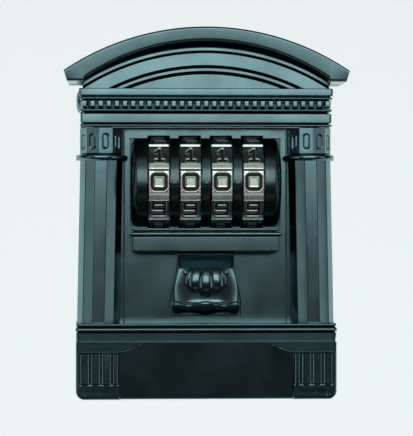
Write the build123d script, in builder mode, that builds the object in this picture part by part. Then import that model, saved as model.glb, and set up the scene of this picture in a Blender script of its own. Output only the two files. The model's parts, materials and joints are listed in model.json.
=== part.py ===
from build123d import *
import math
import os

# A wall-mounted key lock box with a temple front: a casing on the wall, a facade door that
# swings up on a pin through the casing's ears, four number dials and a push-in bracket
# that releases the door. Millimetres. X is to the right, the front faces -Y, +Z is up.
# The origin is the middle of the four wall screws, on the wall's surface.

os.makedirs("parts", exist_ok=True)

# ---- driving dimensions ----
screw_middle_height = 50.0  # the wall screws' middle, above the facade's foot
facade_height = 127.0
wall_pad_thick = 1.5

casing_half_width = 41.5
casing_bottom = 3.0
casing_top = 98.0
casing_wall = 3.0
casing_front_y = -32.7
screw_half_x = 24.0
screw_half_z = 30.0
screw_hole_radius = 2.5

door_rear_y = -33.0
panel_rear_y = -37.6
panel_front_y = -40.0
roof_front_y = -56.0

pivot_y = -27.8
pivot_height = 103.0
pivot_radius = 2.0
ear_radius = 4.8
knuckle_radius = 3.9
running_gap = 0.05

roof_arc_radius = 86.7
roof_half_width = 48.6
roof_end_height = 108.2
roof_band = 4.7
entablature_half_width = 43.2
entablature_bottom = 93.0
entablature_top = 105.8
base_half_width = 44.8
base_top = 27.0
column_x = 35.9
column_y = -41.0
column_radius = 7.6
column_bottom = 26.0
column_top = 94.0
collar_radius = 8.9
collar_bottom = 81.9
collar_top = 83.7

dial_axis_y = -35.0
dial_axis_height = 74.3
dial_pitch = 10.8
dial_width = 7.2
dial_radius = 16.7
dial_digits = 10
barrel_radius = 15.9
barrel_wall = 2.0
barrel_half_width = 26.0
slot_gap = 0.3
shaft_radius = 2.0

gate_ring_radius = 10.0
gate_ring_thick = 1.2
gate_width = 2.8
gate_depth = 3.4
sleeve_hub_radius = 6.2
sleeve_tooth_radius = 6.4

bar_front_y = -35.9
bar_rear_y = -34.1
bar_leg_x = 20.0
bar_leg_half_width = 2.0

button_clearance = 0.35
button_front_y = -48.5

cover_front_y = -33.9
cover_rear_y = -32.4
cover_half_width = 36.0
cover_bottom = 20.0
cover_top = 93.0
spring_seat_y = -30.0
detent_screw_places = (-dial_pitch, dial_pitch)
detent_screw_height = 89.0

flange_screw_x = 28.0
flange_screw_heights = (59.5, 88.5)

dial_centres = [dial_pitch * (n - 1.5) for n in range(4)]
both_sides = (-1, 1)


def up(height):
    """A height above the facade's foot, as Z in the part's frame."""
    return height - screw_middle_height


def facing(y):
    """The plane at depth y that looks to the front: its x is X and its y is Z."""
    return Plane(origin=(0, y, 0), x_dir=(1, 0, 0), z_dir=(0, -1, 0))


def across(x):
    """The plane at x that looks along +X: its x is Y and its y is Z."""
    return Plane(origin=(x, 0, 0), x_dir=(0, 1, 0), z_dir=(1, 0, 0))


def block(x_low, x_high, y_low, y_high, low, high, mode=Mode.ADD):
    """A box between two X values, two Y values and two heights above the foot."""
    with Locations(((x_low + x_high) / 2, (y_low + y_high) / 2, up((low + high) / 2))):
        Box(x_high - x_low, y_high - y_low, high - low, mode=mode)


def rod(x_low, x_high, y, height, radius, mode=Mode.ADD):
    """A cylinder along X between two X values."""
    with Locations(Location(((x_low + x_high) / 2, y, up(height)), (0, 90, 0))):
        Cylinder(radius, x_high - x_low, mode=mode)


def peg(x, height, y_low, y_high, radius, mode=Mode.ADD):
    """A cylinder along Y between two Y values."""
    with Locations(Location((x, (y_low + y_high) / 2, up(height)), (90, 0, 0))):
        Cylinder(radius, y_high - y_low, mode=mode)


def save(builder, name):
    """Label a finished piece and write its STEP file."""
    builder.part.label = name
    export_step(builder.part, f"parts/{name}.step")


def roof_arc_height(x, radius=roof_arc_radius):
    """The height of an arc about the roof's centre, at x."""
    centre = facade_height - roof_arc_radius
    return centre + math.sqrt(radius**2 - x**2)


def arched_outline(half_width, foot, radius):
    """A face with a flat foot, upright sides and a top on an arc about the roof's centre."""
    side_top = up(roof_arc_height(half_width, radius))
    crown = up(roof_arc_height(0, radius))
    with BuildLine() as outline:
        Polyline(
            (-half_width, side_top),
            (-half_width, up(foot)),
            (half_width, up(foot)),
            (half_width, side_top),
        )
        ThreePointArc((-half_width, side_top), (0, crown), (half_width, side_top))
    make_face(outline.edges())


# ---- rear casing ----
casing_middle = (casing_bottom + casing_top) / 2
casing_tall = casing_top - casing_bottom
with BuildPart() as rear_casing:
    with BuildSketch(facing(-wall_pad_thick)):
        with Locations((0, up(casing_middle))):
            RectangleRounded(2 * casing_half_width, casing_tall, 4)
    extrude(amount=-casing_front_y - wall_pad_thick)
    # pivot ears on both side walls
    for side in both_sides:
        with BuildSketch(across(side * casing_half_width)):
            with Locations((pivot_y, up(pivot_height))):
                Circle(ear_radius)
            with Locations((pivot_y, up(casing_top - 1))):
                Rectangle(2 * ear_radius, 2 * (pivot_height - casing_top + 1))
        extrude(amount=-side * casing_wall)
    # the hollow
    with BuildSketch(facing(-wall_pad_thick - casing_wall)):
        with Locations((0, up(casing_middle))):
            RectangleRounded(
                2 * (casing_half_width - casing_wall), casing_tall - 2 * casing_wall, 2.5
            )
    extrude(amount=40, mode=Mode.SUBTRACT)
    # clear the swing of the door's knuckles between the ears
    block(-38.5, 38.5, -34, -1, casing_top, 112, Mode.SUBTRACT)
    # catch lips behind which the lock bar's bolts stand
    for side in both_sides:
        block(side * bar_leg_x - 3, side * bar_leg_x + 3, casing_front_y, -29.9, 5, 11.7)
    # the gasket's groove in the front rim
    with BuildSketch(facing(-31.5)):
        with Locations((0, up(casing_middle))):
            RectangleRounded(2 * 40.7, casing_tall - 1.6, 3.3)
            RectangleRounded(2 * 39.3, casing_tall - 4.4, 2.6, mode=Mode.SUBTRACT)
    extrude(amount=4, mode=Mode.SUBTRACT)
    # pin bores, wall-screw holes and the hook's screw hole
    rod(-50, 50, pivot_y, pivot_height, pivot_radius + 0.02, Mode.SUBTRACT)
    for side in both_sides:
        for level in both_sides:
            peg(side * screw_half_x, screw_middle_height + level * screw_half_z,
                -10, 1, screw_hole_radius, Mode.SUBTRACT)
    peg(0, 84, -10, 1, 1.25, Mode.SUBTRACT)
save(rear_casing, "rear_casing")

# ---- wall pad ----
with BuildPart() as wall_pad:
    with BuildSketch(facing(0)):
        with Locations((0, up(casing_middle))):
            RectangleRounded(2 * (casing_half_width - 1), casing_tall - 2, 3)
        for side in both_sides:
            for level in both_sides:
                with Locations((side * screw_half_x, level * screw_half_z)):
                    Circle(screw_hole_radius, mode=Mode.SUBTRACT)
    extrude(amount=wall_pad_thick)
save(wall_pad, "wall_pad")

# ---- rim seal ----
with BuildPart() as rim_seal:
    with BuildSketch(facing(-31.5)):
        with Locations((0, up(casing_middle))):
            RectangleRounded(2 * 40.6, casing_tall - 1.8, 3.2)
            RectangleRounded(2 * 39.4, casing_tall - 4.2, 2.7, mode=Mode.SUBTRACT)
    extrude(amount=1.4)
save(rim_seal, "rim_seal")

# ---- hinge pin and its domed caps ----
pin_half_length = casing_half_width
with BuildPart() as hinge_pin:
    rod(-pin_half_length, pin_half_length, pivot_y, pivot_height, pivot_radius)
save(hinge_pin, "hinge_pin")

cap_length = 3.4
cap_rounding = 2.9
with BuildPart() as hinge_caps:
    for side in both_sides:
        inner, outer = sorted((side * casing_half_width, side * (casing_half_width + cap_length)))
        rod(inner, outer, pivot_y, pivot_height, ear_radius)
    outer_rims = hinge_caps.edges().filter_by(GeomType.CIRCLE).sort_by(Axis.X)
    fillet([outer_rims[0], outer_rims[-1]], cap_rounding)
save(hinge_caps, "hinge_caps")

# ---- key hook and its screw ----
hook_height = 84.0
back_inner_y = -wall_pad_thick - casing_wall
with BuildPart() as key_hook:
    with BuildSketch(across(0)):
        with BuildLine():
            FilletPolyline(
                (back_inner_y - 0.75, up(hook_height + 5)),
                (back_inner_y - 0.75, up(hook_height - 10)),
                (back_inner_y - 7, up(hook_height - 10)),
                (back_inner_y - 7, up(hook_height - 4)),
                radius=2,
            )
        trace(line_width=1.5)
    extrude(amount=3, both=True)
    peg(0, hook_height, -12, 0, 1.5, Mode.SUBTRACT)
save(key_hook, "key_hook")

with BuildPart() as hook_screw:
    peg(0, hook_height, back_inner_y - 1.5, -wall_pad_thick - 0.5, 1.25)
    peg(0, hook_height, back_inner_y - 3, back_inner_y - 1.5, 2.5)
save(hook_screw, "hook_screw")


# ---- door ----
def column_shaft(side):
    """A twelve-sided column with one flat to the front."""
    with BuildSketch(Plane.XY.offset(up(column_bottom))) as plan:
        with Locations((side * column_x, column_y)):
            RegularPolygon(column_radius, 12, rotation=15)
    extrude(plan.sketch, amount=column_top - column_bottom)


def moulding(half_width, front_y, low, high, rounding):
    """A straight band across the facade with rounded front edges."""
    with BuildSketch(across(-half_width)) as section:
        with Locations(((front_y + panel_front_y) / 2 + 1, up((low + high) / 2))):
            RectangleRounded(panel_front_y - front_y + 2, high - low, rounding)
    extrude(section.sketch, amount=2 * half_width)


def arch_band(outer, inner, front_y, foot):
    """A band of the pediment between two arcs, above a flat foot."""
    rise = foot - (facade_height - roof_arc_radius)
    with BuildSketch(facing(panel_front_y + 1)) as band:
        arched_outline(math.sqrt(outer**2 - rise**2) - 0.01, foot, outer)
        with Locations((0, up(facade_height - roof_arc_radius))):
            Circle(inner, mode=Mode.SUBTRACT)
    extrude(band.sketch, amount=panel_front_y + 1 - front_y)


dentil_count = 31
dentil_pitch = 2.77
button_outline = [(9.7, 49.0), (9.7, 45.0), (11.6, 36.0), (12.1, 33.2), (12.1, 28.3)]


def button_face(extra):
    """The release bracket's outline, grown on all sides by extra."""
    right = [(x + extra, up(h)) for x, h in button_outline]
    right[0] = (right[0][0], right[0][1] + extra)
    right[-1] = (right[-1][0], right[-1][1] - extra)
    left = [(-x, z) for x, z in reversed(right)]
    with BuildLine() as outline:
        Polyline(*right, *left, close=True)
    make_face(outline.edges())


with BuildPart() as door_front:
    # the panel and the rim around it
    with BuildSketch(facing(door_rear_y)):
        arched_outline(entablature_half_width - 0.8, 0, roof_arc_radius - roof_band)
    extrude(amount=door_rear_y - panel_front_y)
    # the base block, behind its mouldings
    block(-base_half_width + 0.6, base_half_width - 0.6, -50.2, -33, 0, base_top)
    moulding(base_half_width, -51.6, 24.9, 26.1, 0.5)
    moulding(base_half_width, -52.0, 19.4, 24.4, 0.9)
    for side in both_sides:
        inner, outer = sorted((side * 29.6, side * (base_half_width - 0.2)))
        block(inner, outer, -51.6, -40, 0, 17.5)
    # entablature
    block(-entablature_half_width, entablature_half_width, -48.6, -33,
          entablature_bottom, entablature_top)
    moulding(entablature_half_width, -50.4, 104.2, 105.8, 0.4)
    moulding(entablature_half_width, -49.8, 102.8, 103.8, 0.4)
    moulding(entablature_half_width, -49.6, 98.5, 99.4, 0.4)
    moulding(entablature_half_width, -49.4, 94.6, 97.8, 0.3)
    moulding(entablature_half_width, -49.6, 93.3, 94.0, 0.3)
    for n in range(dentil_count):
        middle = (n - (dentil_count - 1) / 2) * dentil_pitch
        block(middle - 0.85, middle + 0.85, -49.6, -47, 99.8, 102.2)
    # pediment: field, bead arcs and the hood of the roof
    with BuildSketch(facing(panel_front_y + 1)):
        arched_outline(42, entablature_top - 0.5, roof_arc_radius - roof_band)
    extrude(amount=panel_front_y + 1 + 47.5)
    arch_band(79.2, 78.0, -49.0, 106.6)
    arch_band(73.2, 70.9, -48.6, 106.1)
    with BuildSketch(facing(door_rear_y)):
        with BuildLine():
            end_low = up(roof_end_height)
            end_high = up(roof_arc_height(roof_half_width))
            Line((-roof_half_width, end_high), (-roof_half_width + 1, end_low))
            Line((-roof_half_width + 1, end_low), (roof_half_width - 1, end_low))
            Line((roof_half_width - 1, end_low), (roof_half_width, end_high))
            ThreePointArc(
                (roof_half_width, end_high),
                (0, up(facade_height)),
                (-roof_half_width, end_high),
            )
        make_face()
        with BuildSketch(mode=Mode.SUBTRACT):
            arched_outline(41.5, roof_end_height - 1, roof_arc_radius - roof_band)
    extrude(amount=door_rear_y - roof_front_y)
    # columns with capital drums and collars
    for side in both_sides:
        column_shaft(side)
        with Locations((side * column_x, column_y, up(collar_bottom))):
            Cylinder(collar_radius, collar_top - collar_bottom,
                     align=(Align.CENTER, Align.CENTER, Align.MIN))
        with Locations((side * column_x, column_y, up(84.1))):
            Cylinder(7.4, 9.5, align=(Align.CENTER, Align.CENTER, Align.MIN))
    # sill under the dials
    moulding(26.0, -47.2, 57.8, 58.5, 0.3)
    moulding(26.5, -48.0, 55.9, 57.3, 0.6)
    moulding(25.2, -47.0, 50.6, 56.0, 0.4)
    # hollow behind the panel, in which the mechanism works
    block(-39.2, 39.2, panel_rear_y, -30, 3, 95.5, Mode.SUBTRACT)
    block(-26, 26, -46.5, -30, 3, 23.5, Mode.SUBTRACT)
    # hollow behind the pediment
    with BuildSketch(facing(door_rear_y)):
        arched_outline(37, 108.5, roof_arc_radius - roof_band - 3)
    extrude(amount=9, mode=Mode.SUBTRACT)
    # windows for the barrel and for the release bracket
    rod(-barrel_half_width - 0.2, barrel_half_width + 0.2, dial_axis_y, dial_axis_height,
        barrel_radius + 0.2, Mode.SUBTRACT)
    for centre in dial_centres:
        rod(centre - dial_width / 2 - slot_gap, centre + dial_width / 2 + slot_gap,
            dial_axis_y, dial_axis_height, dial_radius + slot_gap, Mode.SUBTRACT)
    # a flat back that meets the casing's rim
    block(-60, 60, door_rear_y, -20, -1, 98, Mode.SUBTRACT)
    with BuildSketch(facing(-33)):
        button_face(button_clearance)
    extrude(amount=8, mode=Mode.SUBTRACT)
    # screw bosses for the cover, spring seats and bar guides
    for side in both_sides:
        for level in (24.0, 90.0):
            peg(side * 33, level, panel_rear_y - 0.5, cover_front_y, 2.6)
            peg(side * 33, level, panel_rear_y - 1, cover_front_y + 1, 0.9, Mode.SUBTRACT)
        inner, outer = sorted((side * 29.8, side * 33.5))
        block(inner, outer, panel_rear_y - 0.5, cover_front_y, 66, 69)
        for guide_x in (16.6, 23.4):
            block(side * guide_x - 0.9, side * guide_x + 0.9,
                  panel_rear_y - 0.5, cover_front_y, 24, 36)
        for level in flange_screw_heights:
            peg(side * flange_screw_x, level, -39.4, -35, 0.85, Mode.SUBTRACT)
    # knuckles on the hinge pin
    for low, high in ((-37.5, -29.5), (29.5, 37.5)):
        with BuildSketch(across(low)):
            with Locations((pivot_y, up(pivot_height))):
                Circle(knuckle_radius)
            with Locations(((pivot_y + door_rear_y) / 2 - 0.25, up(pivot_height))):
                Rectangle(pivot_y - door_rear_y + 0.5, 2 * knuckle_radius)
        extrude(amount=high - low)
    rod(-40, 40, pivot_y, pivot_height, pivot_radius + running_gap, Mode.SUBTRACT)
save(door_front, "door_front")

# ---- dial housing: the smooth barrel, its flange and end walls ----
with BuildPart() as dial_housing:
    rod(-barrel_half_width, barrel_half_width, dial_axis_y, dial_axis_height, barrel_radius)
    ends = dial_housing.faces().filter_by(Axis.X)
    fillet([edge for face in ends for edge in face.edges()], 3)
    rod(-barrel_half_width + barrel_wall, barrel_half_width - barrel_wall,
        dial_axis_y, dial_axis_height, barrel_radius - barrel_wall, Mode.SUBTRACT)
    block(-40, 40, -37.6, 0, 40, 110, Mode.SUBTRACT)
    with BuildSketch(facing(-36.3)):
        with Locations((0, up(74.25))):
            Rectangle(2 * 29.6, 37.0)
            Rectangle(2 * 24.0, 2 * 15.6, mode=Mode.SUBTRACT)
    extrude(amount=1.3)
    for side in both_sides:
        inner, outer = sorted((side * 24.0, side * 26.0))
        block(inner, outer, -42, -32, 70, 78.6)
    for centre in dial_centres:
        rod(centre - dial_width / 2 - slot_gap, centre + dial_width / 2 + slot_gap,
            dial_axis_y, dial_axis_height, dial_radius + slot_gap, Mode.SUBTRACT)
    rod(-40, 40, dial_axis_y, dial_axis_height, shaft_radius + running_gap, Mode.SUBTRACT)
    for side in both_sides:
        for level in flange_screw_heights:
            with Locations(Location((side * flange_screw_x, -36.3, up(level)), (-90, 0, 0))):
                CounterSinkHole(0.95, 1.5, 3)
save(dial_housing, "dial_housing")

with BuildPart() as housing_screws:
    for side in both_sides:
        for level in flange_screw_heights:
            peg(side * flange_screw_x, level, -39.3, -36.35, 0.85)
            with Locations(Location((side * flange_screw_x, -36.65, up(level)), (90, 0, 0))):
                Cone(1.4, 0.85, 0.6)
save(housing_screws, "housing_screws")

# ---- mechanism cover ----
with BuildPart() as mechanism_cover:
    with BuildSketch(facing(cover_rear_y)):
        with Locations((0, up((cover_bottom + cover_top) / 2))):
            RectangleRounded(2 * cover_half_width, cover_top - cover_bottom, 2.5)
    extrude(amount=cover_rear_y - cover_front_y)
    block(-27.5, 27.5, cover_front_y, -15.7, 54.6, cover_top)
    block(-26.0, 26.0, -40, -17.2, 56.1, cover_top - 1.2, Mode.SUBTRACT)
    block(-17.2, 17.2, cover_front_y, -28.5, 30.5, 46.5)
    block(-15.7, 15.7, -40, spring_seat_y, 32.0, 45.0, Mode.SUBTRACT)
    rod(-30, 30, dial_axis_y, dial_axis_height, shaft_radius + 0.6, Mode.SUBTRACT)
    for x in detent_screw_places:
        peg(x, detent_screw_height, -20, -15, 0.85, Mode.SUBTRACT)
    block(27.8, 33.0, -40, -20, 70.4, 78.2, Mode.SUBTRACT)
    for side in both_sides:
        for level in (24.0, 90.0):
            peg(side * 33, level, -40, -20, 1.1, Mode.SUBTRACT)
save(mechanism_cover, "mechanism_cover")

with BuildPart() as cover_screws:
    for side in both_sides:
        for level in (24.0, 90.0):
            peg(side * 33, level, -38.3, cover_rear_y, 0.9)
            peg(side * 33, level, cover_rear_y, cover_rear_y + 1.2, 1.9)
save(cover_screws, "cover_screws")

# ---- detent spring: one leaf behind each dial, on a strip under the cover ----
with BuildPart() as detent_spring:
    block(-25, 25, -17.6, -17.2, 85.0, 91.6)
    for centre in dial_centres:
        block(centre - 2, centre + 2, -17.6, -17.2, 72.0, 85.5)
        block(centre - 2, centre + 2, -17.95, -17.5, 73.8, 74.8)
    for x in detent_screw_places:
        peg(x, detent_screw_height, -20, -15, 0.85, Mode.SUBTRACT)
save(detent_spring, "detent_spring")

with BuildPart() as detent_screws:
    for x in detent_screw_places:
        peg(x, detent_screw_height, -17.6, -15.8, 0.8)
        peg(x, detent_screw_height, -18.3, -17.6, 1.5)
save(detent_screws, "detent_screws")

# ---- dials: wheels and the gate sleeves that each carries in the gap on its right ----
gate_half_angle = 360 / dial_digits / 2


def toothed_disc(root, tip, teeth=10):
    """A sketch of a disc with square teeth."""
    Circle(root)
    with PolarLocations((root + tip) / 2, teeth):
        Rectangle(tip - root + 0.6, 1.6)


for number, centre in enumerate(dial_centres, 1):
    left = centre - dial_width / 2
    right = centre + dial_width / 2
    with BuildPart() as dial_wheel:
        rod(left, right, dial_axis_y, dial_axis_height, dial_radius)
        rims = dial_wheel.edges().filter_by(GeomType.CIRCLE)
        chamfer(rims, 0.7)
        # the valleys between the ten digit faces
        for n in range(dial_digits):
            turn = math.radians(gate_half_angle + 36 * n)
            valley_y = dial_axis_y - (dial_radius + 0.9) * math.cos(turn)
            valley_height = dial_axis_height + (dial_radius + 0.9) * math.sin(turn)
            rod(left - 1, right + 1, valley_y, valley_height, 1.4, Mode.SUBTRACT)
        rod(left - 1, right + 1, dial_axis_y, dial_axis_height,
            shaft_radius + running_gap, Mode.SUBTRACT)
        with BuildSketch(Plane(origin=(right, dial_axis_y, up(dial_axis_height)),
                               x_dir=(0, -1, 0), z_dir=(1, 0, 0))):
            toothed_disc(sleeve_hub_radius - 0.9, sleeve_tooth_radius + 0.1)
        extrude(amount=-2.8, mode=Mode.SUBTRACT)
        rod(left - 1, left + 0.7, dial_axis_y, dial_axis_height, 3.5, Mode.SUBTRACT)
    save(dial_wheel, f"dial_wheel_{number}")

    with BuildPart() as gate_sleeve:
        ring_left = right + slot_gap
        ring_right = ring_left + gate_ring_thick
        with BuildSketch(Plane(origin=(ring_left, dial_axis_y, up(dial_axis_height)),
                               x_dir=(0, -1, 0), z_dir=(1, 0, 0))):
            Circle(gate_ring_radius)
            with Locations((0, gate_ring_radius)):
                Rectangle(gate_width, 2 * gate_depth, mode=Mode.SUBTRACT)
        extrude(amount=gate_ring_thick)
        with BuildSketch(Plane(origin=(ring_left, dial_axis_y, up(dial_axis_height)),
                               x_dir=(0, -1, 0), z_dir=(1, 0, 0))):
            toothed_disc(sleeve_hub_radius - 1.1, sleeve_tooth_radius - 0.5, 10)
        extrude(amount=-1.7)
        rod(ring_left - 5, ring_right + 1, dial_axis_y, dial_axis_height,
            shaft_radius + running_gap, Mode.SUBTRACT)
    save(gate_sleeve, f"gate_sleeve_{number}")

# ---- code-change slide: shaft, clips that hold the sleeves to it, and its tab ----
tab_left = 28.2
with BuildPart() as dial_shaft:
    rod(-27.0, tab_left + 1.2, dial_axis_y, dial_axis_height, shaft_radius)
    for centre in dial_centres:
        hub_left = centre + dial_width / 2 + slot_gap - 1.7
        ring_right = centre + dial_width / 2 + slot_gap + gate_ring_thick
        for x in (hub_left - 0.45, ring_right + 0.05):
            with BuildSketch(across(x)):
                with Locations((dial_axis_y, up(dial_axis_height))):
                    Circle(shaft_radius + 0.1)
                    Circle(shaft_radius - 0.4, mode=Mode.SUBTRACT)
            extrude(amount=0.4, mode=Mode.SUBTRACT)
save(dial_shaft, "dial_shaft")

with BuildPart() as sleeve_clips:
    for centre in dial_centres:
        hub_left = centre + dial_width / 2 + slot_gap - 1.7
        ring_right = centre + dial_width / 2 + slot_gap + gate_ring_thick
        for x in (hub_left - 0.45, ring_right + 0.05):
            with BuildSketch(across(x)):
                with Locations((dial_axis_y, up(dial_axis_height))):
                    Circle(3.1)
                    Circle(shaft_radius - 0.4, mode=Mode.SUBTRACT)
                with Locations((dial_axis_y + 3, up(dial_axis_height))):
                    Rectangle(4, 2.4, mode=Mode.SUBTRACT)
            extrude(amount=0.4)
save(sleeve_clips, "sleeve_clips")

with BuildPart() as change_tab:
    block(tab_left, tab_left + 2.4, -36.1, -30.6, 71.0, 77.6)
    rod(tab_left - 1, tab_left + 1.2, dial_axis_y, dial_axis_height, shaft_radius, Mode.SUBTRACT)
save(change_tab, "change_tab")

# ---- release button: the carved bracket with its wedge, tabs and spring pockets ----
spring_x = 7.2
button_rear_y = -39.2
spring_height = 38.0
with BuildPart() as release_button:
    with BuildSketch(facing(button_rear_y)):
        button_face(0)
    extrude(amount=2.4)
    with BuildSketch(across(-9.6)):
        with BuildLine():
            Polyline(
                (-40.5, up(49.0)),
                (-44.6, up(49.0)),
                (-45.0, up(45.2)),
                (-47.4, up(44.6)),
            )
            ThreePointArc((-47.4, up(44.6)), (button_front_y, up(39)), (-46.2, up(33.6)))
            Polyline((-46.2, up(33.6)), (-40.5, up(33.6)), (-40.5, up(49.0)))
        make_face()
    extrude(amount=2 * 9.6)
    # the spindle-shaped scroll at the foot
    with BuildSketch(Plane.XY.offset(up(30.8))):
        with BuildLine():
            Spline((-12.1, -44.5), (-9.6, -46.9), (-6.3, -46.0), (0, -47.1),
                   (6.3, -46.0), (9.6, -46.9), (12.1, -44.5))
            Line((12.1, -44.5), (-12.1, -44.5))
        make_face()
    revolve(axis=Axis((0, -44.5, up(30.8)), (1, 0, 0)))
    block(-11.5, 11.5, -44.5, -40.5, 29.0, 33.8)
    # retaining tabs behind the panel
    for side in both_sides:
        inner, outer = sorted((side * 5.0, side * 9.6))
        block(inner, outer, button_rear_y, -36.3, 35.0, 43.0)
        inner, outer = sorted((side * 9.0, side * 15.2))
        block(inner, outer, -37.3, -36.3, 36.5, 43.0)
        peg(side * spring_x, spring_height, -45.0, -35, 1.95, Mode.SUBTRACT)
    # the wedge that lifts the lock bar
    with BuildSketch(across(-4)):
        with BuildLine():
            Polyline(
                (-39.0, up(43.1)),
                (-34.2, up(38.3)),
                (-34.2, up(33.0)),
                (-39.0, up(33.0)),
                close=True,
            )
        make_face()
    extrude(amount=8)
save(release_button, "release_button")


with BuildPart() as button_springs:
    for side in both_sides:
        start = Plane(origin=(side * spring_x, spring_seat_y, up(spring_height)),
                      x_dir=(1, 0, 0), z_dir=(0, -1, 0))
        with BuildSketch(start):
            Circle(1.6)
            Circle(1.2, mode=Mode.SUBTRACT)
        extrude(amount=14.9)
save(button_springs, "button_springs")

# ---- lock bar ----
with BuildPart() as lock_bar:
    block(-33.2, 33.2, bar_front_y, bar_rear_y, 47.6, 53.8)
    block(-25.6, 25.6, bar_front_y, bar_rear_y, 46.0, 47.7)
    # fingers under the gate sleeves
    for centre in dial_centres:
        finger_left = centre + dial_width / 2 + slot_gap
        block(finger_left, finger_left + gate_ring_thick, bar_front_y, bar_rear_y, 53.5,
              dial_axis_height - gate_ring_radius - 0.3)
    # tongue over the button's wedge
    with BuildSketch(across(-4.5)):
        with BuildLine():
            Polyline(
                (bar_front_y, up(46.5)),
                (bar_front_y, up(40.15)),
                (bar_rear_y, up(38.35)),
                (bar_rear_y, up(46.5)),
                close=True,
            )
        make_face()
    extrude(amount=9)
    # legs, with bolts that stand behind the casing's lips
    for side in both_sides:
        inner = side * bar_leg_x - bar_leg_half_width
        outer = side * bar_leg_x + bar_leg_half_width
        block(inner, outer, bar_front_y, bar_rear_y, 13.3, 46.5)
        block(inner, outer, bar_front_y, -26.2, 13.3, 16.5)
        block(inner, outer, -29.5, -26.2, 9.0, 13.5)
save(lock_bar, "lock_bar")

with BuildPart() as lock_bar_springs:
    for side in both_sides:
        with BuildSketch(Plane.XY.offset(up(53.8))):
            with Locations((side * 31.3, -35.6)):
                Circle(1.5)
                Circle(1.1, mode=Mode.SUBTRACT)
        extrude(amount=66 - 53.8)
save(lock_bar_springs, "lock_bar_springs")
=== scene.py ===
import json
import math

import bmesh
import bpy
import numpy as np
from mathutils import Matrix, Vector


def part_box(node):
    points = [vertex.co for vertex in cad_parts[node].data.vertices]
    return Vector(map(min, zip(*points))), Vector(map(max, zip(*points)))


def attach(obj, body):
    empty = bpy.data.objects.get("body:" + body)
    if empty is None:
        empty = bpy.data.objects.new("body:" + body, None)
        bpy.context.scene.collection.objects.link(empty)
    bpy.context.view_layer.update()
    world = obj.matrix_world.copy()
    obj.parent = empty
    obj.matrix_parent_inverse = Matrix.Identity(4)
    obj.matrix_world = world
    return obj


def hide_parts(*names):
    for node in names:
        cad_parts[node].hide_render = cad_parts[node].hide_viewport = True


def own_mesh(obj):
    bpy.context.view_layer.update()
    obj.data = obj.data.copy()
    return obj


bl_info = {
    "name": "Temple-front key lock box",
    "version": (1, 0, 0),
    "blender": (4, 5, 0),
    "location": "3D View > Sidebar > Key Box",
    "description": "Builds the castings, dials, release bracket, springs and finishes of a wall key box",
    "category": "Object",
}

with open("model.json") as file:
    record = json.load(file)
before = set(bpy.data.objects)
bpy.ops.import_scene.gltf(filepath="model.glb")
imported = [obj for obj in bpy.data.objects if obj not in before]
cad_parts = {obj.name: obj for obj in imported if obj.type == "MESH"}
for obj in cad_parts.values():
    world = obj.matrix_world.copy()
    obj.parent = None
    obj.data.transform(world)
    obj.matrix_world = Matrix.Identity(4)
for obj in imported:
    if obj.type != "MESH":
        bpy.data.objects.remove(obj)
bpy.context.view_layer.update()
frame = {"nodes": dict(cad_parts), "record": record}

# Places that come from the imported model, in millimetres: x, y, and height above the foot.
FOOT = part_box("door_front")[0].z
WHEELS = [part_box(f"dial_wheel_{number}") for number in (1, 2, 3, 4)]
WHEEL_X = [500.0 * (low.x + high.x) for low, high in WHEELS]
WHEEL_HALF = 500.0 * (WHEELS[0][1].x - WHEELS[0][0].x)
WHEEL_RADIUS = 500.0 * (WHEELS[0][1].z - WHEELS[0][0].z)
AXIS_Y = 500.0 * (WHEELS[0][0].y + WHEELS[0][1].y)
AXIS_HEIGHT = 500.0 * (WHEELS[0][0].z + WHEELS[0][1].z) - 1000.0 * FOOT
ROOF_FRONT = 1000.0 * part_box("door_front")[0].y
DOOR_REAR = 1000.0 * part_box("rear_casing")[0].y - 0.3
PANEL_FRONT = -39.6
CROWN = 1000.0 * (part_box("door_front")[1].z - FOOT)


# ---- Shapes ----
# A shape is (points, faces): points in millimetres, and a list of arrays with one face to a row.

def unit(value):
    """The value, held between 0 and 1."""
    return np.clip(value, 0, 1)


def grid_quads(rows, columns, close_rows=False, close_columns=False):
    """Each quad joins a grid point to the next one along, the one across and the one between them."""
    row = np.arange(rows if close_rows else rows - 1)
    column = np.arange(columns if close_columns else columns - 1)
    row, column = np.meshgrid(row, column, indexing="ij")
    next_row, next_column = (row + 1) % rows, (column + 1) % columns
    corners = (row * columns + column, row * columns + next_column,
               next_row * columns + next_column, next_row * columns + column)
    return np.stack(corners, -1).reshape(-1, 4)


def loft(loops):
    """A skin over a stack of closed loops: quads between neighbouring loops and a flat cap on each end."""
    levels, count = loops.shape[:2]
    first = np.arange(count)[None]
    return loops.reshape(-1, 3), [grid_quads(levels, count, False, True), first, first + (levels - 1) * count]


def ring(grid):
    """A grid that closes both ways, as on a wheel or a tyre."""
    return grid.reshape(-1, 3), [grid_quads(*grid.shape[:2], True, True)]


def slab(front, back_y):
    """A front surface, straight walls back from its border to y = back_y, and a flat back."""
    rows, columns = front.shape[:2]
    index = np.arange(rows * columns).reshape(rows, columns)
    border = np.concatenate([index[0, :-1], index[:-1, -1], index[-1, :0:-1], index[:0:-1, 0]])
    points = front.reshape(-1, 3)
    rear = points[border].copy()
    rear[:, 1] = back_y
    count = len(border)
    behind = rows * columns + np.arange(count)
    walls = np.stack([border, np.roll(border, -1), np.roll(behind, -1), behind], 1)
    return np.concatenate([points, rear]), [grid_quads(rows, columns), walls, behind[None]]


def band(low, high, out, rounding=0.25):
    """A flat moulding from low to high, standing out by out, with quarter-round edges."""
    turn = np.linspace(0, math.pi / 2, 4)
    bottom = np.stack([low + rounding * (1 - np.cos(turn)), out - rounding * (1 - np.sin(turn))], 1)
    top = np.stack([high - rounding * (1 - np.cos(turn)), out - rounding * (1 - np.sin(turn))], 1)[::-1]
    return np.concatenate([bottom, top])


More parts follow.
